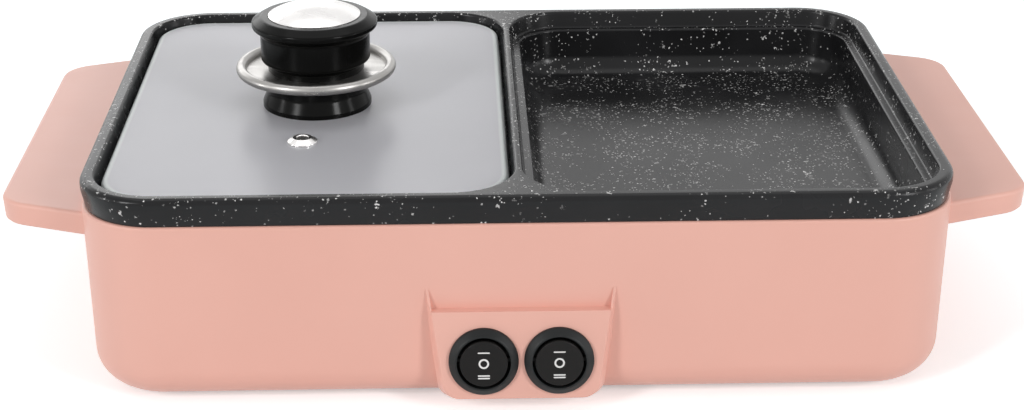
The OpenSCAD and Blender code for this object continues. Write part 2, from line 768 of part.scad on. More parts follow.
module lead(points, side = [1, 0, 0]) {
    q = smooth(points);
    t = along(q);
    u = carry(t, side);
    last = (len(q) - 1) * lead_n;
    polyhedron(
        points = [for (i = [0 : len(q) - 1]) for (k = [0 : lead_n - 1])
            let (a = 360 * k / lead_n) q[i] + lead_r * (u[i] * cos(a) + cross(t[i], u[i]) * sin(a))],
        faces = [
            [for (k = [0 : lead_n - 1]) k],
            [for (k = [lead_n - 1 : -1 : 0]) last + k],
            for (i = [0 : len(q) - 2]) for (k = [0 : lead_n - 1])
                let (a = i * lead_n + k, b = i * lead_n + (k + 1) % lead_n)
                    each [[a, a + lead_n, b + lead_n], [a, b + lead_n, b]]
        ]);
}

// Where the leads leave their sleeves
function panel_at(x, v, n) = [x, panel_y + v * sin(panel_tilt) - n * cos(panel_tilt),
    switch_z + v * cos(panel_tilt) + n * sin(panel_tilt)];
function heater_end(x, z, s) = [x + s * leg_x, leg_front - 8 - lead_root, z - tube_drop];
function stat_end(x, z, s) = [x + 4.5 * s, stat_y, z - stat_h - lead_root];
function switch_end(s, v) = panel_at(s * switch_pitch / 2, v, -barrel_l - lead_root);
function inlet_end(i) = [inlet_x + pin_at[i][0], pad_y - inlet_l - lead_root, inlet_z - pin_at[i][1]];
earth_end = [well_x + earth_at[0], earth_at[1] + 7 + lead_root, grill_under - earth_drop - 0.4];
pair = [1.4, 0, 0];
low_z = flange_z + 5;

module live_leads() {
    right_in = switch_end(1, 0);
    left_in = switch_end(-1, 0);
    left_out = switch_end(-1, 5);
    right_out = switch_end(1, 5);
    pot_a = stat_end(-well_x, pot_under, 1);
    pot_b = stat_end(-well_x, pot_under, -1);
    grill_a = stat_end(well_x, grill_under, -1);
    grill_b = stat_end(well_x, grill_under, 1);
    pot_pin = heater_end(-well_x, pot_under, -1);
    grill_pin = heater_end(well_x, grill_under, 1);
    live = inlet_end(0);
    color([0.45, 0.25, 0.15]) {
        lead([live, live - [0, 8, 0], [24, 40, 14], [14, 0, low_z], [14, -50, low_z + 2],
            right_in + pair + [0, 9, -1.2], right_in + pair]);
        lead([right_in - pair, right_in - pair + [0, 6, -0.8], [0, right_in[1] + 13, right_in[2] - 2],
            left_in + [0, 6, -0.8], left_in]);
        lead([left_out, left_out + [0, 6, -0.8], [-18, -66, 15], [-40, -40, low_z], pot_a + [6, -2, -6],
            pot_a - [0, 0, 3], pot_a]);
        lead([pot_b, pot_b - [0, 0, 3], pot_b + [-6, -3, -6], [-100, -50, low_z], [-104, -70, low_z],
            [pot_pin[0], -85, 13], [pot_pin[0], -89, 22], pot_pin - [0, 9, 1], pot_pin]);
        lead([right_out, right_out + [0, 6, -0.8], [22, -66, 18], [42, -40, 16], grill_a + [-7, -4, -12],
            grill_a - [0, 0, 5], grill_a]);
        lead([grill_b, grill_b - [0, 0, 5], grill_b + [7, -6, -11], [98, -54, 18],
            [grill_pin[0], -83, 23], [grill_pin[0], -89, 36], grill_pin - [0, 9, 1], grill_pin]);
    }
}

module neutral_leads() {
    pot_pin = heater_end(-well_x, pot_under, 1);
    grill_pin = heater_end(well_x, grill_under, -1);
    neutral = inlet_end(1);
    color([0.2, 0.35, 0.6]) {
        lead([pot_pin, pot_pin - [0, 8, 0.5], [-37.5, -89, 22], [-34, -82, 13], [-20, -64, low_z],
            [0, -58, low_z - 1], [20, -64, low_z], [33, -82, 15], [36, -90, 30],
            grill_pin - pair - [0, 9, 1.5], grill_pin - pair]);
        lead([grill_pin + pair, grill_pin + pair - [0, 8.5, 1], [42, -89, 33], [45, -82, 17],
            [46, -60, low_z], [44, 0, low_z], [44, 40, 13], neutral - [0, 8, 0], neutral]);
    }
}

module earth_lead() {
    earth = inlet_end(2);
    color([0.4, 0.6, 0.2])
        lead([earth_end, earth_end + [0, 5, 0], earth_end + [9, 7.5, -5], [inlet_x + 21, 86, 30],
            [inlet_x + 17, 72, 20], [inlet_x + 8, 61, 18], earth - [0, 7, 1], earth]);
}

// Lid: glass, knob stack on one screw, steam vent
lid_u = foot_u - lid_gap;

module at_knob() {
    translate([-well_x, knob_y, 0]) children();
}

module lid_glass() {
    color([0.75, 0.78, 0.8, 0.5]) difference() {
        translate([-well_x, 0, 0]) filled_round(seat_hubs, seat_z, lid_z)
            rounded([[0, seat_z], [lid_u, seat_z], [lid_u, lid_z], [0, lid_z]], [0, 1, 1.4, 0]);
        at_knob() translate([0, 0, seat_z - 1]) cylinder(r = 3.2, h = lid_t + 2);
        at_knob() translate([vent_dx, vent_dy, seat_z - 1]) cylinder(r = 4, h = lid_t + 2);
    }
}

module knob_base() {
    color([0.07, 0.07, 0.07]) at_knob() rotate_extrude()
        rounded([[2.7, lid_z], [knob_r, lid_z], [knob_r, lid_z + 1.6], [knob_r - 1.9, lid_z + 6],
            [knob_r - 1.9, base_top - 3.4], [knob_r - 1.1, base_top - 2.8], [knob_r - 1.1, base_top],
            [2.7, base_top]], [0, 0, 0.8, 4, 0, 0.3, 0.4, 0]);
}

// A pressed plate whose edge is rolled up
module knob_ring() {
    color([0.8, 0.8, 0.8]) at_knob() rotate_extrude() {
        translate([2.7, base_top]) square([ring_r - roll_r - 2.7, ring_t]);
        translate([ring_r - roll_r, base_top + roll_r - roll_drop]) circle(r = roll_r, $fn = 32);
    }
}

module knob_grip() {
    r = knob_r;
    color([0.07, 0.07, 0.07]) at_knob() rotate_extrude()
        rounded([[2.55, ring_top], [r - 2.4, ring_top], [r - 2.4, ring_top + 2.2], [r, ring_top + 4],
            [r, ring_top + 14], [r + 2.9, ring_top + 16.4], [r + 2.9, ring_top + 18.2],
            [r - 0.4, cap_z + 1], [r - 3, cap_z + 1], [r - 3, cap_z], [0, cap_z], [0, ring_top + 16],
            [2.55, ring_top + 16]],
            [0, 0, 0.9, 1.2, 1.8, 0.9, 1, 2.2, 0, 0, 0, 0, 0]);
}

module knob_cap() {
    cap_r = knob_r - 3.2;
    bow = 4.4;
    round_r = (cap_r * cap_r + bow * bow) / 2 / bow;
    color([0.82, 0.82, 0.82]) at_knob() translate([0, 0, cap_z]) {
        cylinder(r = cap_r, h = 1.2);
        intersection() {
            translate([0, 0, 1.2 + bow - round_r]) sphere(r = round_r);
            translate([0, 0, 1.2]) cylinder(r = cap_r + 1, h = bow + 1);
        }
    }
}

module knob_washer() {
    color([0.75, 0.75, 0.75]) at_knob() translate([0, 0, seat_z - 1.2]) difference() {
        cylinder(r = 8, h = 1.2);
        translate([0, 0, -1]) cylinder(r = 2.7, h = 4);
    }
}

module knob_screw() {
    color([0.7, 0.7, 0.72]) at_knob() translate([0, 0, seat_z - 1.2])
        screw(2.5, ring_top + 14 - seat_z + 1.2, 4.6, 3);
}

module steam_vent() {
    color([0.82, 0.82, 0.82]) at_knob() translate([vent_dx, vent_dy, 0]) rotate_extrude()
        rounded([[2.1, seat_z - 0.8], [5.6, seat_z - 0.8], [5.6, seat_z], [3.9, seat_z], [3.9, lid_z],
            [5.3, lid_z], [5.3, lid_z + 0.7], [3.3, lid_z + 2], [2.1, lid_z + 2]],
            [0, 0.3, 0, 0, 0, 0, 0.5, 0.6, 0.4]);
}

module placed() {
    translate([0, shift_y, 0]) children();
}

placed() housing();
placed() base_cover();
placed() rubber_feet();
placed() base_screws();
placed() pan();
placed() pan_screws();
placed() pot_heater();
placed() grill_heater();
placed() heater_beads();
placed() heater_pins();
placed() heater_bars();
placed() bar_screws();
placed() pot_shield();
placed() grill_shield();
placed() pot_thermostat();
placed() grill_thermostat();
placed() thermostat_tabs();
placed() thermostat_screws();
placed() left_switch();
placed() right_switch();
placed() left_rocker();
placed() right_rocker();
placed() switch_tabs();
placed() power_inlet();
placed() inlet_pins();
placed() inlet_screws();
placed() earth_tag();
placed() earth_screw();
placed() lead_sleeves();
placed() live_leads();
placed() neutral_leads();
placed() earth_lead();
placed() lid_glass();
placed() knob_base();
placed() knob_ring();
placed() knob_grip();
placed() knob_cap();
placed() knob_screw();
placed() knob_washer();
placed() steam_vent();
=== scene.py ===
# %% [markdown]
# # A twin-well electric skillet
# The object is a tabletop cooker: one dark speckled casting with two wells, a flat glass lid with a
# turned knob over the left well, and a salmon pink moulded housing with two rocker switches in front.
# Its solids come from the CAD model as a fixed frame, so nothing is placed by eye here. This script
# gives each solid its finish, prints the marks on the rockers, and sets up a plain photo studio.

# %% Load the CAD frame
import json
import math

import bmesh
import bpy
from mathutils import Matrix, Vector


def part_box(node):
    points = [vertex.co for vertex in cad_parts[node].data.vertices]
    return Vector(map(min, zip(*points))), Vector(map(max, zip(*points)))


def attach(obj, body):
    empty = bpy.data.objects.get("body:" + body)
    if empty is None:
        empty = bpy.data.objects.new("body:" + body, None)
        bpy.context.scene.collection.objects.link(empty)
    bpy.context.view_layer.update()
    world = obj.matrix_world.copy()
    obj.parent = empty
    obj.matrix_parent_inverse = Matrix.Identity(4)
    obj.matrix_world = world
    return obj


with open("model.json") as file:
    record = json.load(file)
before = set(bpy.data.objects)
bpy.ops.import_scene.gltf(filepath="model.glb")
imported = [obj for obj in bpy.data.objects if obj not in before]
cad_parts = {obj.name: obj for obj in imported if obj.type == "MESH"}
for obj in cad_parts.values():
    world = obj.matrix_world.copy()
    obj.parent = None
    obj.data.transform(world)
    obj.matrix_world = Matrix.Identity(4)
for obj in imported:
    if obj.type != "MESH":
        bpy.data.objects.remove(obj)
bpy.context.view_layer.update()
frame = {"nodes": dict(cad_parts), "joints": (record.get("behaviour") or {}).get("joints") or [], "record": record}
scene = bpy.context.scene
scene.view_settings.view_transform = "Standard"

# %% [markdown]
# ## The camera
# A product photo of a low, wide object is taken a little from above with a long lens, so that its
# sides stay nearly upright. The place, the tilt and the focal length were fitted to the straight
# edges of the casting's rim. The focal length in pixels turns into millimetres with the sensor's width.

# %% Camera
IMAGE_WIDTH_PX = 1024
FOCAL_PX = 2036.3
SENSOR_MM = 36.0
CAMERA_PLACE = (-0.02184, -0.71398, 0.33527)
CAMERA_PITCH = math.radians(22.958)
CAMERA_YAW = math.radians(1.754)

camera = bpy.data.objects.new("studio_camera", bpy.data.cameras.new("studio_camera"))
camera.data.sensor_fit = "HORIZONTAL"
camera.data.sensor_width = SENSOR_MM
camera.data.lens = FOCAL_PX * SENSOR_MM / IMAGE_WIDTH_PX
camera.location = CAMERA_PLACE
camera.rotation_euler = (math.pi / 2 - CAMERA_PITCH, 0, -CAMERA_YAW)
scene.collection.objects.link(camera)
scene.camera = camera
print("lens:", round(camera.data.lens, 2), "mm")

# %% [markdown]
# ## Small helpers for shader nodes
# Every finish below is a small graph of nodes. One helper makes a node and fills in its settings and
# sockets, and one makes an empty node group with named sockets. Two more write the steps that come up
# most: a blend of two colours, and a value carried over to another range. With these the graphs stay
# short enough to read as recipes.

# %% Node helpers
def add(tree, kind, sockets=None, **settings):
    """A shader node with its settings and sockets. A linked socket is given as its source socket."""
    node = tree.nodes.new("ShaderNode" + kind)
    for name, value in settings.items():
        setattr(node, name, value)
    for name, value in (sockets or {}).items():
        if isinstance(value, bpy.types.NodeSocket):
            tree.links.new(value, node.inputs[name])
        else:
            node.inputs[name].default_value = value
    return node


def new_group(name, inputs, outputs):
    """An empty node group: inputs are (name, type, default), outputs are (name, type)."""
    tree = bpy.data.node_groups.new(name, "ShaderNodeTree")
    for label, kind, value in inputs:
        socket = tree.interface.new_socket(label, in_out="INPUT", socket_type="NodeSocket" + kind)
        socket.default_value = value
    for label, kind in outputs:
        tree.interface.new_socket(label, in_out="OUTPUT", socket_type="NodeSocket" + kind)
    return tree, tree.nodes.new("NodeGroupInput").outputs, tree.nodes.new("NodeGroupOutput").inputs


MIX_COLOUR = {"factor": 0, "a": 6, "b": 7, "result": 2}


def blend_colours(tree, factor, a, b):
    """The colour a where the factor is 0, and b where it is 1."""
    node = add(tree, "Mix", {MIX_COLOUR["factor"]: factor, MIX_COLOUR["a"]: a, MIX_COLOUR["b"]: b},
               data_type="RGBA")
    return node.outputs[MIX_COLOUR["result"]]


def spread(tree, value, low, high, start=0.0, stop=1.0):
    """A value between start and stop, carried over to low and high."""
    node = add(tree, "MapRange", {"Value": value, "From Min": start, "From Max": stop,
                                  "To Min": low, "To Max": high})
    return node.outputs["Result"]


print("helpers ready")

# %% [markdown]
# ## The floor and the white surroundings
# The object stands on a white sweep. A real sweep would need strong light on it, and that light would
# wash out the object. Here the rays that look at the floor see a brighter paper, mixed with a part of
# its own white, so that it is white where nothing shades it and keeps the soft shadow where something
# does. Far from the object, where the lamps don't reach, its own white takes over and meets the white
# room without a line. All other rays meet plain pale paper.

# %% Floor
FLOOR_HALF = 4.0
PAPER = (0.82, 0.815, 0.82, 1)
SEEN_PAPER = (1.58, 1.68, 1.71, 1)
OWN_WHITE = 0.32
NEAR, FAR = 0.6, 1.5


def seen_ray(tree):
    """1 for rays from the camera, a mirror or through glass, 0 for rays that gather light."""
    path = add(tree, "LightPath").outputs
    glossy = add(tree, "Math", {0: path["Is Camera Ray"], 1: path["Is Glossy Ray"]},
                 operation="MAXIMUM")
    seen = add(tree, "Math", {0: glossy.outputs[0], 1: path["Is Transmission Ray"]},
               operation="MAXIMUM")
    return seen.outputs[0]


floor_mesh = bpy.data.meshes.new("paper_sweep")
corners = [(-FLOOR_HALF, -FLOOR_HALF, 0), (FLOOR_HALF, -FLOOR_HALF, 0),
           (FLOOR_HALF, FLOOR_HALF, 0), (-FLOOR_HALF, FLOOR_HALF, 0)]
floor_mesh.from_pydata(corners, [], [(0, 1, 2, 3)])
floor = bpy.data.objects.new("paper_sweep", floor_mesh)
scene.collection.objects.link(floor)

paper = bpy.data.materials.new("paper_white")
paper.use_nodes = True
tree = paper.node_tree
tree.nodes.clear()
lit_paper = add(tree, "BsdfDiffuse", {"Color": PAPER})
bright_paper = add(tree, "BsdfDiffuse", {"Color": SEEN_PAPER})
own_white = add(tree, "Emission", {"Strength": 1.0})
reach = add(tree, "VectorMath", {0: add(tree, "TexCoord").outputs["Object"]}, operation="LENGTH")
own_part = spread(tree, reach.outputs["Value"], OWN_WHITE, 1.0, NEAR, FAR)
seen_paper = add(tree, "MixShader", {0: own_part, 1: bright_paper.outputs[0],
                                     2: own_white.outputs[0]})
floor_mix = add(tree, "MixShader", {0: seen_ray(tree), 1: lit_paper.outputs[0],
                                    2: seen_paper.outputs[0]})
add(tree, "OutputMaterial", {"Surface": floor_mix.outputs[0]})
floor.data.materials.append(paper)
print("floor:", 2 * FLOOR_HALF, "m square")

# %% [markdown]
# ## World light
# The room around a product table is white too. Camera, mirror and glass rays see it at strength 1,
# which is white on the picture. The light that it gives to the object is lower, because the lamps
# below carry most of it.

# %% World
AMBIENT = 0.32

world = bpy.data.worlds.new("white_room")
world.use_nodes = True
tree = world.node_tree
tree.nodes.clear()
room_level = spread(tree, seen_ray(tree), AMBIENT, 1.0)
room = add(tree, "Background", {"Color": (1, 1, 1, 1), "Strength": room_level})
add(tree, "OutputWorld", {"Surface": room.outputs[0]})
scene.world = world
print("ambient level:", AMBIENT)

# %% [markdown]
# ## Soft lamps
# Softboxes give the even light of a catalogue photo. Two upright ones stand in front and carry most of
# it, and a wide one hangs above. Two low, wide ones behind the object graze its upper faces, the left
# one brighter than the right one, so that the coat and the handles get their pale sheen. A strip on
# either side brightens the upright corners of the housing. The camera doesn't see any of them, but
# polished steel and bakelite show them as soft highlights, which is what makes a knob look round.

# %% Lamps
AIM = Vector((0, 0, 0.05))


def softbox(name, place, size, watts):
    """A rectangular area lamp that faces the object."""
    lamp = bpy.data.lights.new(name, "AREA")
    lamp.shape = "RECTANGLE"
    lamp.size, lamp.size_y = size
    lamp.energy = watts
    box = bpy.data.objects.new(name, lamp)
    box.location = place
    box.rotation_euler = (AIM - Vector(place)).to_track_quat("-Z", "Y").to_euler()
    box.visible_camera = False
    scene.collection.objects.link(box)
    return box


lamps = [
    softbox("softbox_left", (-1.75, -1.75, 1.15), (0.45, 0.9), 25),
    softbox("softbox_right", (1.75, -1.75, 1.05), (0.45, 0.9), 25.5),
    softbox("softbox_top", (0.0, 0.3, 2.0), (1.8, 1.2), 6),
    softbox("softbox_back_left", (-0.95, 1.87, 0.85), (2.2, 0.9), 11),
    softbox("softbox_back_right", (0.85, 1.95, 0.85), (1.4, 0.9), 1.4),
    softbox("strip_left", (-2.3, -0.4, 0.45), (0.25, 0.9), 6),
    softbox("strip_right", (2.3, -0.4, 0.45), (0.25, 0.9), 5),
]
print("lamps:", [lamp.name for lamp in lamps])

# %% [markdown]
# ## Smooth shading for the CAD solids
# The CAD solids arrive as triangles with split corners. The real surfaces are smooth in their curves
# and crisp at their edges. The meshes stay as they are, so the smoothing is done by modifiers: corners
# are joined, edges that turn by more than a set angle stay sharp, and large faces set the normals, so
# that flat panels look flat up to their rounded edges.

# %% Smooth by angle
JOIN_DISTANCE = 2e-6
SHARP_ANGLE = math.radians(32)


def smooth_by_angle_nodes():
    """Geometry nodes: smooth faces, with the edges sharp where the angle is large."""
    tree = bpy.data.node_groups.new("smooth_by_angle", "GeometryNodeTree")
    tree.interface.new_socket("Geometry", in_out="INPUT", socket_type="NodeSocketGeometry")
    tree.interface.new_socket("Geometry", in_out="OUTPUT", socket_type="NodeSocketGeometry")
    nodes, links = tree.nodes, tree.links
    faces = nodes.new("GeometryNodeSetShadeSmooth")
    edges = nodes.new("GeometryNodeSetShadeSmooth")
    edges.domain = "EDGE"
    edges.inputs["Shade Smooth"].default_value = False
    turn = nodes.new("GeometryNodeInputMeshEdgeAngle")
    sharp = nodes.new("FunctionNodeCompare")
    sharp.inputs["B"].default_value = SHARP_ANGLE
    links.new(nodes.new("NodeGroupInput").outputs[0], faces.inputs[0])
    links.new(faces.outputs[0], edges.inputs[0])
    links.new(turn.outputs["Unsigned Angle"], sharp.inputs["A"])
    links.new(sharp.outputs[0], edges.inputs["Selection"])
    links.new(edges.outputs[0], nodes.new("NodeGroupOutput").inputs[0])
    return tree


smooth_nodes = smooth_by_angle_nodes()
for solid in frame["nodes"].values():
    weld = solid.modifiers.new("join_corners", "WELD")
    weld.merge_threshold = JOIN_DISTANCE
    smooth = solid.modifiers.new("smooth_by_angle", "NODES")
    smooth.node_group = smooth_nodes
    even = solid.modifiers.new("flat_panels", "WEIGHTED_NORMAL")
    even.keep_sharp = True
print("smoothed:", len(frame["nodes"]), "solids")

# %% [markdown]
# ## Moulded grain, an effect for all plastics and rubber
# A moulding tool is spark eroded or sanded, and every plastic part carries its fine pebble. Two noises
# make it: a fine one for the pebble, and a slow one for the faint clouds of colour that any moulded
# panel shows. The group puts out both, and each material takes as much of them as it needs.

# %% Moulded grain
CLOUD_NOISE = (0.3, 0.7)


def moulded_grain_group():
    """The fine pebble and the slow clouds of a moulded face."""
    tree, given, result = new_group(
        "moulded_grain",
        [("Pebbles", "Float", 1800.0), ("Clouds", "Float", 18.0)],
        [("Pebble", "Float"), ("Cloud", "Float")])
    place = add(tree, "TexCoord").outputs["Object"]
    pebble = add(tree, "TexNoise", {"Vector": place, "Scale": given["Pebbles"],
                                    "Detail": 2.0, "Roughness": 0.55})
    cloud = add(tree, "TexNoise", {"Vector": place, "Scale": given["Clouds"],
                                   "Detail": 3.0, "Roughness": 0.5})
    tree.links.new(pebble.outputs[0], result["Pebble"])
    tree.links.new(spread(tree, cloud.outputs[0], 0, 1, *CLOUD_NOISE), result["Cloud"])
    return tree


moulded_grain = moulded_grain_group()
print("group:", moulded_grain.name)

# %% [markdown]
# ## Finger marks, an effect for all glossy faces
# A polished face is never equally clean. Wiped and touched places are a little duller, and they show
# only where light glances off. A stretched noise with a soft threshold gives a mask that goes to the
# roughness alone, so the colour stays pure.

# %% Finger marks
WIPE_TURN = (0.3, 0.2, 0.6)
WIPE_STRETCH = (1.0, 2.4, 1.4)
MARK_START = 0.85
MARK_STOP = 1.1


def finger_marks_group():
    """The wiped and touched places: 1 where a face is dull. More cover makes more of them."""
    tree, given, result = new_group(
        "finger_marks",
        [("Marks", "Float", 45.0), ("Cover", "Float", 0.5)],
        [("Mark", "Float")])
    place = add(tree, "TexCoord").outputs["Object"]
    wiped = add(tree, "Mapping", {"Vector": place, "Rotation": WIPE_TURN, "Scale": WIPE_STRETCH})
    noise = add(tree, "TexNoise", {"Vector": wiped.outputs[0], "Scale": given["Marks"], "Detail": 4.0,
                                   "Roughness": 0.6, "Distortion": 0.7})
    start = add(tree, "Math", {0: MARK_START, 1: given["Cover"]}, operation="SUBTRACT")
    stop = add(tree, "Math", {0: MARK_STOP, 1: given["Cover"]}, operation="SUBTRACT")
    mask = add(tree, "MapRange", {"Value": noise.outputs[0], "From Min": start.outputs[0],
                                  "From Max": stop.outputs[0]}, interpolation_type="SMOOTHSTEP")
    tree.links.new(mask.outputs[0], result["Mark"])
    return tree


finger_marks = finger_marks_group()
print("group:", finger_marks.name)

# %% [markdown]
# ## Turned lines, an effect for pieces made on a lathe or spun
# A spun steel cap and a pressed ring are polished while they turn, so their finest lines are circles
# round their own axis. The distance from the axis drives a one-dimensional noise, which draws rings of
# uneven width. The axis stands upright through a centre that each material gives.

# %% Turned lines
FLATTEN = (1, 1, 0.35)


def turned_lines_group():
    """Fine rings round an upright axis through the centre. Height counts less than distance."""
    tree, given, result = new_group(
        "turned_lines",
        [("Centre", "Vector", (0, 0, 0)), ("Lines", "Float", 2600.0)],
        [("Line", "Float")])
    place = add(tree, "TexCoord").outputs["Object"]
    arm = add(tree, "VectorMath", {0: place, 1: given["Centre"]}, operation="SUBTRACT")
    flat = add(tree, "VectorMath", {0: arm.outputs[0], 1: FLATTEN}, operation="MULTIPLY")
    radius = add(tree, "VectorMath", {0: flat.outputs[0]}, operation="LENGTH")
    rings = add(tree, "TexNoise", {"W": radius.outputs["Value"], "Scale": given["Lines"],
                                   "Detail": 2.0}, noise_dimensions="1D")
    tree.links.new(rings.outputs[0], result["Line"])
    return tree


turned_lines = turned_lines_group()
print("group:", turned_lines.name)

# %% [markdown]
# ## Flecks, an effect for the stone-look coat
# The coat of the casting is sprayed in two passes: a dark base and then fine drops of white. Each drop
# is a small spot of its own size at a random place, which is what a Voronoi texture gives: one point
# per cell, with a random colour that decides whether the cell has a drop, how large it is and how much
# of the dark coat shows through it. A little noise bends the cells, so the drops aren't perfect discs,
# and a slow noise makes them denser in some places than in others, as a spray gun does. The gun sprays
# from above, so upright walls catch only a part of the drops that a floor catches.

# %% Flecks
BEND_SCALE = 2.3
PATCH_SCALE = 55.0
PATCH_NOISE = (0.38, 0.62)
PATCH_SHARES = (0.15, 1.5)
WALL_TO_FLOOR = (0.1, 0.8)
SMALLEST_DROP = 0.35
DROP_CORE = 0.72
DROP_SHADES = (0.12, 0.95)


def flecks_group():
    """Drops of one size class: 1 where a drop covers the coat."""
    tree, given, result = new_group(
        "flecks",
        [("Cells", "Float", 400.0), ("Share", "Float", 0.5), ("Walls", "Float", 0.4),
         ("Size", "Float", 0.2), ("Ragged", "Float", 0.25)],
        [("Fleck", "Float")])
    place = add(tree, "TexCoord").outputs["Object"]
    grid = add(tree, "VectorMath", {0: place, "Scale": given["Cells"]}, operation="SCALE")
    bend = add(tree, "TexNoise", {"Vector": grid.outputs[0], "Scale": BEND_SCALE, "Detail": 2.0})
    centred = add(tree, "VectorMath", {0: bend.outputs["Color"], 1: (0.5, 0.5, 0.5)},
                  operation="SUBTRACT")
    push = add(tree, "VectorMath", {0: centred.outputs[0], "Scale": given["Ragged"]}, operation="SCALE")
    bent = add(tree, "VectorMath", {0: grid.outputs[0], 1: push.outputs[0]}, operation="ADD")
    cell = add(tree, "TexVoronoi", {"Vector": bent.outputs[0], "Scale": 1.0})
    chance = add(tree, "SeparateColor", {"Color": cell.outputs["Color"]})
    patches = add(tree, "TexNoise", {"Vector": place, "Scale": PATCH_SCALE, "Detail": 2.0})
    density = spread(tree, patches.outputs[0], *PATCH_SHARES, *PATCH_NOISE)
    upward = add(tree, "SeparateXYZ", {0: add(tree, "NewGeometry").outputs["Normal"]}).outputs["Z"]
    caught = spread(tree, upward, given["Walls"], 1.0, *WALL_TO_FLOOR)
    sprayed = add(tree, "Math", {0: density, 1: caught}, operation="MULTIPLY")
    share = add(tree, "Math", {0: given["Share"], 1: sprayed.outputs[0]}, operation="MULTIPLY")
    has_drop = add(tree, "Math", {0: chance.outputs[0], 1: share.outputs[0]}, operation="LESS_THAN")
    size_share = spread(tree, chance.outputs[1], SMALLEST_DROP, 1.0)
    radius = add(tree, "Math", {0: given["Size"], 1: size_share}, operation="MULTIPLY")
    inner = add(tree, "Math", {0: radius.outputs[0], 1: DROP_CORE}, operation="MULTIPLY")
    drop = add(tree, "MapRange", {"Value": cell.outputs["Distance"], "From Min": radius.outputs[0],
                                  "From Max": inner.outputs[0]})
    shade = spread(tree, chance.outputs[2], *DROP_SHADES)
    cover = add(tree, "Math", {0: shade, 1: has_drop.outputs[0]}, operation="MULTIPLY")
    fleck = add(tree, "Math", {0: drop.outputs[0], 1: cover.outputs[0]}, operation="MULTIPLY")
    tree.links.new(fleck.outputs[0], result["Fleck"])
    return tree


flecks = flecks_group()
print("group:", flecks.name)

# %% [markdown]
# ## Tarnish, an effect for plated and bare metal parts
# Zinc, nickel and brass parts come out of a barrel bath, so their brightness is cloudy and small pits
# stay dull. One noise makes the clouds and one makes the pits. The clouds feed the colour and the
# roughness, and the pits feed a slight bump.

# %% Tarnish
BATH_NOISE = (0.35, 0.7)


def tarnish_group():
    """The cloudy brightness and the small pits of a barrel bath."""
    tree, given, result = new_group(
        "tarnish",
        [("Clouds", "Float", 160.0), ("Pits", "Float", 2200.0)],
        [("Cloud", "Float"), ("Pit", "Float")])
    place = add(tree, "TexCoord").outputs["Object"]
    cloud = add(tree, "TexNoise", {"Vector": place, "Scale": given["Clouds"],
                                   "Detail": 4.0, "Roughness": 0.6})
    pit = add(tree, "TexNoise", {"Vector": place, "Scale": given["Pits"], "Detail": 2.0})
    tree.links.new(spread(tree, cloud.outputs[0], 0, 1, *BATH_NOISE), result["Cloud"])
    tree.links.new(pit.outputs[0], result["Pit"])
    return tree


tarnish = tarnish_group()
print("group:", tarnish.name)

# %% [markdown]
# ## Two recipes for whole families of finishes
# Most of the forty solids are plastics or metals that differ only in colour, gloss and coarseness. After
# three small steps that every finish takes, one function writes a moulded finish from the grain and the
# finger marks, and one writes a metal finish from the tarnish. Values that are the same all over the
# piece go straight to the shader's own sockets.

# %% Recipes
PEBBLE_STRENGTH = 0.5
PIT_STRENGTH = 0.4
finishes = {}


def start_material(name, **sockets):
    """A new material: its node tree and its Principled shader with plain values set."""
    material = bpy.data.materials.new(name)
    material.use_nodes = True
    tree = material.node_tree
    shader = tree.nodes["Principled BSDF"]
    for socket, value in sockets.items():
        shader.inputs[socket.replace("_", " ")].default_value = value
    finishes[name] = material
    return tree, shader


def place_group(tree, group, **values):
    """A node group in a material, with its own values."""
    node = add(tree, "Group", node_tree=group)
    for socket, value in values.items():
        node.inputs[socket].default_value = value
    return node.outputs


def bump(tree, shader, height, strength, distance):
    """A bump of that height in metres, fed into the shader's normal."""
    node = add(tree, "Bump", {"Strength": strength, "Distance": distance, "Height": height})
    tree.links.new(node.outputs[0], shader.inputs["Normal"])


def moulded(name, colour, shade, roughness, pebbles=1800.0, depth=2e-5, dull=0.08, **sockets):
    """A moulded plastic or rubber: clouds between two colours, pebble bump, duller finger marks."""
    tree, shader = start_material(name, **sockets)
    grain = place_group(tree, moulded_grain, Pebbles=pebbles)
    marks = place_group(tree, finger_marks)
    tree.links.new(blend_colours(tree, grain["Cloud"], colour, shade), shader.inputs["Base Color"])
    tree.links.new(spread(tree, marks["Mark"], roughness, roughness + dull), shader.inputs["Roughness"])
    bump(tree, shader, grain["Pebble"], PEBBLE_STRENGTH, depth)
    return tree, shader


def plated(name, colour, shade, roughness, clouds=160.0, depth=8e-6, dull=0.15, **sockets):
    """A plated or bare metal: cloudy brightness, duller where it is dark, and small pits."""
    tree, shader = start_material(name, Metallic=1.0, **sockets)
    bath = place_group(tree, tarnish, Clouds=clouds)
    tree.links.new(blend_colours(tree, bath["Cloud"], colour, shade), shader.inputs["Base Color"])
    tree.links.new(spread(tree, bath["Cloud"], roughness, roughness + dull), shader.inputs["Roughness"])
    bump(tree, shader, bath["Pit"], PIT_STRENGTH, depth)
    return tree, shader


print("recipes ready")

# %% [markdown]
# ## The pink housing
# The housing is satin polypropylene in salmon pink, with the colour all the way through. It is a
# matte-looking surface with a broad, soft sheen, so its roughness is middling, and its clouds are so
# faint that they only take the computer look away.

# %% Pink housing
PINK = (0.800, 0.445, 0.368, 1)
PINK_SHADE = (0.775, 0.425, 0.350, 1)

moulded("pink_shell", PINK, PINK_SHADE, 0.42, pebbles=2200.0, depth=1.2e-5, dull=0.025,
        Sheen_Weight=0.15, Sheen_Roughness=0.35)
print("finish: pink_shell")

# %% [markdown]
# ## The speckled casting
# The coat on the casting is charcoal with white drops. Fine drops lie densest, and middle and large ones
# lie between them, ever sparser. All three come from the flecks group with different values. The drops
# stand on the coat by a few hundredths of a millimetre, so they go into the bump with the spray's
# orange peel.

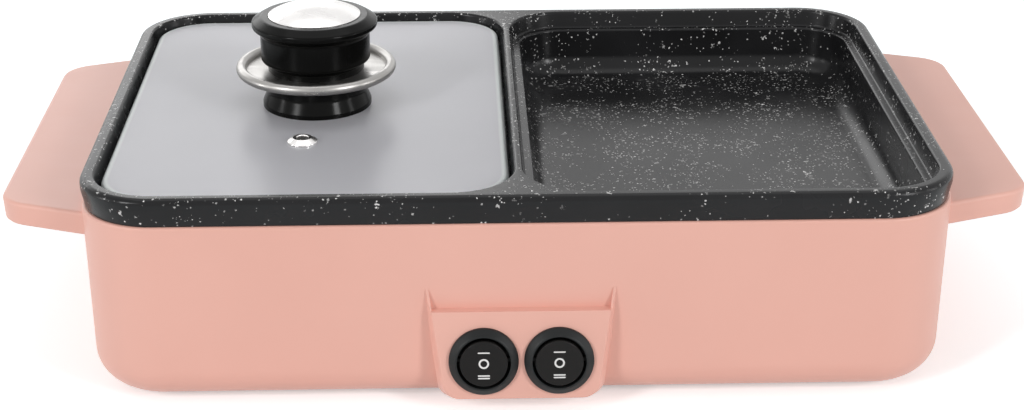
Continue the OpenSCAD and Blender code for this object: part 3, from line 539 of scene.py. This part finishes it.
# %% Speckled casting
COAT_DARK = (0.0075, 0.0075, 0.008, 1)
COAT_LIGHT = (0.0125, 0.0125, 0.0135, 1)
DROP_WHITE = (0.86, 0.85, 0.84, 1)
COAT_ROUGHNESS = (0.22, 0.30)
DROP_HEIGHT = 0.6
COAT_STRENGTH = 0.5
COAT_DEPTH = 4e-5

tree, shader = start_material("nonstick_casting", Specular_IOR_Level=0.22)
peel = place_group(tree, moulded_grain, Pebbles=900.0, Clouds=30.0)
fine = place_group(tree, flecks, Cells=760.0, Share=0.75, Size=0.33, Ragged=0.6)
middle = place_group(tree, flecks, Cells=380.0, Share=0.60, Size=0.30, Ragged=1.4)
large = place_group(tree, flecks, Cells=170.0, Share=0.45, Size=0.22, Ragged=1.9)
coat = blend_colours(tree, peel["Cloud"], COAT_DARK, COAT_LIGHT)
small_drops = add(tree, "Math", {0: fine["Fleck"], 1: middle["Fleck"]}, operation="MAXIMUM")
all_drops = add(tree, "Math", {0: small_drops.outputs[0], 1: large["Fleck"]}, operation="MAXIMUM")
drops = all_drops.outputs[0]
tree.links.new(blend_colours(tree, drops, coat, DROP_WHITE), shader.inputs["Base Color"])
tree.links.new(spread(tree, peel["Cloud"], *COAT_ROUGHNESS), shader.inputs["Roughness"])
relief = add(tree, "Math", {0: drops, 1: DROP_HEIGHT, 2: peel["Pebble"]}, operation="MULTIPLY_ADD")
bump(tree, shader, relief.outputs[0], COAT_STRENGTH, COAT_DEPTH)
print("finish: nonstick_casting")

# %% [markdown]
# ## The glass lid
# The lid is flat tempered glass with a ground edge. Seen at a low angle over a dark well, it looks pale
# grey, because it shows the white room more than what lies below. A clear glass shader would show only
# the dark well under this light, so the glass has a pale grey body colour, a painted reflection of the
# white room, and lets part of the light through. Its ground edge is paler and a little green, as plate
# glass is where one looks into its depth. The ground band follows the lid's outline: it starts at a set
# distance past an inner rectangle, measured from the lid's own box, so it turns round the corners by itself.

# %% Glass lid
LID_CORNER = 0.0199
GROUND_BAND = 0.0025
BAND_FULL = 0.7
BAND_SHARE = 0.8
EDGE_TURN = (0.5, 0.97)
# The pane's pale grey is a painted reflection of the white room, varied in random clouds.
PANE_PAINTED_REFLECTION = (0.62, 0.615, 0.65, 1)
PANE_PAINTED_REFLECTION_PALE = (0.68, 0.675, 0.71, 1)
GROUND_PALE = (0.82, 0.865, 0.85, 1)
PANE_ROUGHNESS = (0.28, 0.295)
TALL = 1.0

tree, shader = start_material("tempered_glass", Transmission_Weight=0.30, IOR=1.5,
                              Specular_IOR_Level=0.05)
marks = place_group(tree, finger_marks, Marks=22.0, Cover=0.45)
breath = place_group(tree, moulded_grain, Pebbles=700.0, Clouds=9.0)
# The pane's colour is the painted reflection of the white room.
pane = blend_colours(tree, breath["Cloud"], PANE_PAINTED_REFLECTION, PANE_PAINTED_REFLECTION_PALE)
upright = add(tree, "SeparateXYZ", {0: add(tree, "NewGeometry").outputs["Normal"]})
edge = spread(tree, upright.outputs["Z"], 1, 0, *EDGE_TURN)
lid_low, lid_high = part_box("lid_glass")
place = add(tree, "TexCoord").outputs["Object"]
arm = add(tree, "VectorMath", {0: place, 1: (lid_low + lid_high) / 2}, operation="SUBTRACT")
away = add(tree, "VectorMath", {0: arm.outputs[0]}, operation="ABSOLUTE")
# The inner box is very tall, so that only the distance along the pane counts.
inner_half = (lid_high - lid_low) / 2 - Vector((LID_CORNER, LID_CORNER, -TALL))
past = add(tree, "VectorMath", {0: away.outputs[0], 1: inner_half}, operation="SUBTRACT")
past_inner = add(tree, "VectorMath", {0: past.outputs[0], 1: (0, 0, 0)}, operation="MAXIMUM")
to_rim = add(tree, "VectorMath", {0: past_inner.outputs[0]}, operation="LENGTH")
ground = spread(tree, to_rim.outputs["Value"], 0, BAND_SHARE,
                LID_CORNER - GROUND_BAND, LID_CORNER - BAND_FULL * GROUND_BAND)
pale_edge = add(tree, "Math", {0: edge, 1: ground}, operation="MAXIMUM").outputs[0]
tree.links.new(blend_colours(tree, pale_edge, pane, GROUND_PALE), shader.inputs["Base Color"])
tree.links.new(spread(tree, marks["Mark"], *PANE_ROUGHNESS), shader.inputs["Roughness"])
print("finish: tempered_glass")

# %% [markdown]
# ## Bakelite and polished steel of the knob
# The knob's grip and collar are pressed from black bakelite and buffed, so they are deep black with
# soft clear highlights. The ring and the cap are spun stainless steel. The ring is more satin, and its
# darker colour is painted shade for the darker reflections it shows. Their lines turn round the knob's
# own axis, which is taken from the box of the cap, and the vent's lines turn round the vent.

# %% Knob finishes
STEEL = (0.85, 0.835, 0.825, 1)
STEEL_SHADE = (0.76, 0.745, 0.735, 1)
# The ring's colours are darker than the cap's as painted shade for the darker reflections it shows.
RING_STEEL_PAINTED_DARK = (0.40, 0.39, 0.375, 1)
RING_LINES_PAINTED_DARK = (0.31, 0.30, 0.29, 1)
STEEL_DULL = 0.1
LINE_STRENGTH = 0.25
LINE_DEPTH = 6e-6


def centre_of(node):
    """The middle of a CAD node's box."""
    low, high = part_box(node)
    return (low + high) / 2


moulded("bakelite", (0.0025, 0.0025, 0.0023, 1), (0.0040, 0.0040, 0.0037, 1), 0.16, pebbles=320.0,
        depth=6e-6, dull=0.08, Specular_IOR_Level=0.09)


def spun_steel(name, centre, colour, shade, roughness):
    """Steel with fine rings round an upright axis, duller where it was touched."""
    tree, shader = start_material(name, Metallic=1.0)
    lines = place_group(tree, turned_lines, Centre=centre)
    marks = place_group(tree, finger_marks, Marks=70.0)
    tree.links.new(blend_colours(tree, lines["Line"], colour, shade), shader.inputs["Base Color"])
    dulled = spread(tree, marks["Mark"], roughness, roughness + STEEL_DULL)
    tree.links.new(dulled, shader.inputs["Roughness"])
    bump(tree, shader, lines["Line"], LINE_STRENGTH, LINE_DEPTH)


spun_steel("stainless", centre_of("knob_cap"), STEEL, STEEL_SHADE, 0.22)
# The ring's darker colours are painted shade.
spun_steel("stainless_ring", centre_of("knob_cap"), RING_STEEL_PAINTED_DARK, RING_LINES_PAINTED_DARK, 0.27)
spun_steel("stainless_vent", centre_of("steam_vent"), STEEL, STEEL_SHADE, 0.18)
print("knob axis:", [round(c, 4) for c in centre_of("knob_cap")])

# %% [markdown]
# ## Switches, rockers and the power inlet
# These are black plastics of three kinds. The switch bodies have a fine spark-eroded texture, the
# rockers are smoother where fingers press them, and the inlet is a plain black moulding. The finer the
# pebble, the softer the highlight on the round bezels.

# %% Black plastics
moulded("switch_plastic", (0.010, 0.0112, 0.0115, 1), (0.015, 0.0165, 0.017, 1), 0.34,
        pebbles=2600.0, depth=2e-5, Specular_IOR_Level=0.22)
moulded("rocker_plastic", (0.0065, 0.006, 0.0058, 1), (0.010, 0.0094, 0.009, 1), 0.36,
        pebbles=2400.0, depth=1e-5, Specular_IOR_Level=0.16)
moulded("inlet_plastic", (0.012, 0.012, 0.0125, 1), (0.018, 0.018, 0.019, 1), 0.45, pebbles=1600.0)
moulded("rubber", (0.020, 0.020, 0.020, 1), (0.032, 0.031, 0.030, 1), 0.72, pebbles=1200.0, depth=4e-5)
print("finishes:", len(finishes))

# %% [markdown]
# ## The inner electrical parts
# Under the pan sit the heaters, thermostats, shields and leads. They show only through the base vents
# or when the part is taken apart, but each is what it would be in a real cooker: nickel and brass tabs,
# zinc screws, a heat-tinted steel sheath, silicone leads in the usual colours.

# %% Inner metals
plated("zinc_steel", (0.56, 0.57, 0.60, 1), (0.42, 0.43, 0.45, 1), 0.30)
plated("black_screws", (0.035, 0.034, 0.033, 1), (0.055, 0.053, 0.05, 1), 0.42)
plated("nickel_tabs", (0.60, 0.56, 0.50, 1), (0.48, 0.45, 0.40, 1), 0.24)
plated("brass_tabs", (0.62, 0.44, 0.17, 1), (0.44, 0.29, 0.11, 1), 0.28)
plated("heater_sheath", (0.22, 0.19, 0.165, 1), (0.12, 0.095, 0.085, 1), 0.46, clouds=60.0)
plated("aluminised_sheet", (0.66, 0.66, 0.65, 1), (0.55, 0.55, 0.54, 1), 0.30, clouds=90.0)
print("finishes:", len(finishes))

# %% Inner plastics and ceramic
moulded("ceramic", (0.83, 0.80, 0.72, 1), (0.76, 0.72, 0.62, 1), 0.35, pebbles=1500.0)
moulded("thermostat_case", (0.17, 0.105, 0.06, 1), (0.12, 0.075, 0.045, 1), 0.5, pebbles=1400.0)
moulded("sleeve_plastic", (0.72, 0.70, 0.66, 1), (0.64, 0.61, 0.56, 1), 0.4, pebbles=1500.0)
moulded("live_insulation", (0.12, 0.045, 0.020, 1), (0.09, 0.032, 0.014, 1), 0.5)
moulded("neutral_insulation", (0.020, 0.075, 0.29, 1), (0.014, 0.055, 0.22, 1), 0.5)
print("finishes:", len(finishes))

# %% [markdown]
# ## The striped earth lead
# An earth lead is green with a yellow stripe along its whole length. The stripe could be painted along
# the wire's path, but the side that a point faces says the same with less work: where the surface looks
# to one side, it is yellow.

# %% Earth lead
STRIPE_START = 0.30
STRIPE_STOP = 0.36
STRIPE_YELLOW = (0.70, 0.55, 0.03, 1)

tree, shader = moulded("earth_insulation", (0.10, 0.30, 0.03, 1), (0.08, 0.25, 0.022, 1), 0.5)
green = shader.inputs["Base Color"].links[0].from_socket
facing = add(tree, "SeparateXYZ", {0: add(tree, "NewGeometry").outputs["Normal"]})
stripe = spread(tree, facing.outputs["Z"], 0, 1, STRIPE_START, STRIPE_STOP)
tree.links.new(blend_colours(tree, stripe, green, STRIPE_YELLOW), shader.inputs["Base Color"])
print("finish: earth_insulation")

# %% [markdown]
# ## Give every solid its finish
# The imported record says which finish each solid has, so the list isn't written twice. Two pieces have
# their own variant of the steel: the vent, because its lines turn round another axis, and the knob's
# ring, because it is more satin and its colour is darker as painted shade.

# %% Assign the finishes
OWN_FINISH = {"steam_vent": "stainless_vent", "knob_ring": "stainless_ring"}
for subpart in frame["record"]["subparts"]:
    node = subpart["node"]
    solid = frame["nodes"][node]
    solid.data.materials.clear()
    solid.data.materials.append(finishes[OWN_FINISH.get(node, subpart["material_slot"])])

# %% [markdown]
# ## The marks on the rockers
# Each rocker has three printed positions: I for one heat, O for off, II for the other. A pad printer
# lays the white ink into the dished face, so the marks follow the dish. They are thin solids of ink
# that lie on the dish and tip with the rocker. Each point is given across the face, u, and up the
# face, v, and the dish gives its height.

# %% Ink on the dish
MM = 0.001
LEAN = math.radians(7.5)
DISH_RADIUS = 40.0
DISH_CENTRE = 42.9
PIVOT_DEPTH = 1.5
INK_PROUD = 0.05
INK_THICK = 0.08
BAR_ROUND = 0.9

ACROSS = Vector((1, 0, 0))
UP_FACE = Vector((0, math.sin(LEAN), math.cos(LEAN)))
OUTWARD = Vector((0, -math.cos(LEAN), math.sin(LEAN)))


def on_dish(pivot, u, v):
    """The point on a rocker's dished face, u across and v up the face, in millimetres."""
    height = DISH_CENTRE - math.sqrt(DISH_RADIUS ** 2 - v ** 2) + PIVOT_DEPTH + INK_PROUD
    return pivot + (ACROSS * u + UP_FACE * v + OUTWARD * height) * MM


def ink_bar(mesh, pivot, length, width, v, rows=3, columns=9):
    """A bar across the face, with rounded ends as a pad print has them."""
    grid = []
    for row in range(rows):
        t = row / (rows - 1) * 2 - 1
        half = length / 2 - width / 2 * (1 - math.sqrt(1 - BAR_ROUND * t * t))
        across = [half * (2 * c / (columns - 1) - 1) for c in range(columns)]
        grid.append([mesh.verts.new(on_dish(pivot, u, v + t * width / 2)) for u in across])
    for low, high in zip(grid, grid[1:]):
        for c in range(columns - 1):
            mesh.faces.new((low[c], low[c + 1], high[c + 1], high[c]))


def ink_ring(mesh, pivot, outer, stroke, v, steps=48):
    """A ring round the middle of the face."""
    rings = []
    for radius in (outer / 2, outer / 2 - stroke / 2, outer / 2 - stroke):
        rings.append([mesh.verts.new(on_dish(pivot, radius * math.sin(a), v + radius * math.cos(a)))
                      for a in (2 * math.pi * i / steps for i in range(steps))])
    for outside, inside in zip(rings, rings[1:]):
        for i in range(steps):
            j = (i + 1) % steps
            mesh.faces.new((outside[i], inside[i], inside[j], outside[j]))


print("ink helpers ready")

# %% [markdown]
# ## Print both rockers
# The print is not perfectly even: ink is a little thinner in places. The same moulded recipe gives it
# faint clouds of grey. The pivots come from the joints of the frame, so the marks stay with the rockers
# at every pose.

# %% Print
MARK_BAR = 4.1
MARK_STROKE = 0.46
RING_OUTER = 3.5
RING_STROKE = 0.6
I_PLACE = 3.9
II_PLACES = (-4.18, -5.04)

moulded("rocker_ink", (0.80, 0.80, 0.79, 1), (0.70, 0.70, 0.69, 1), 0.5, pebbles=4000.0, depth=4e-6)
for joint in frame["joints"]:
    if joint["type"] != "hinge":
        continue
    rocker = joint["child"]
    pivot = Vector(joint["pos_m"])
    marks = bmesh.new()
    ink_bar(marks, pivot, MARK_BAR, MARK_STROKE, I_PLACE)
    ink_ring(marks, pivot, RING_OUTER, RING_STROKE, 0.0)
    for place in II_PLACES:
        ink_bar(marks, pivot, MARK_BAR, MARK_STROKE, place)
    bmesh.ops.recalc_face_normals(marks, faces=marks.faces)
    mesh = bpy.data.meshes.new(rocker + "_marks")
    marks.to_mesh(mesh)
    marks.free()
    ink = bpy.data.objects.new(rocker + "_marks", mesh)
    scene.collection.objects.link(ink)
    ink.data.materials.append(finishes["rocker_ink"])
    body = ink.modifiers.new("ink_body", "SOLIDIFY")
    body.thickness = INK_THICK * MM
    body.offset = -1
    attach(ink, rocker)
    print("printed:", ink.name, len(mesh.polygons), "faces")
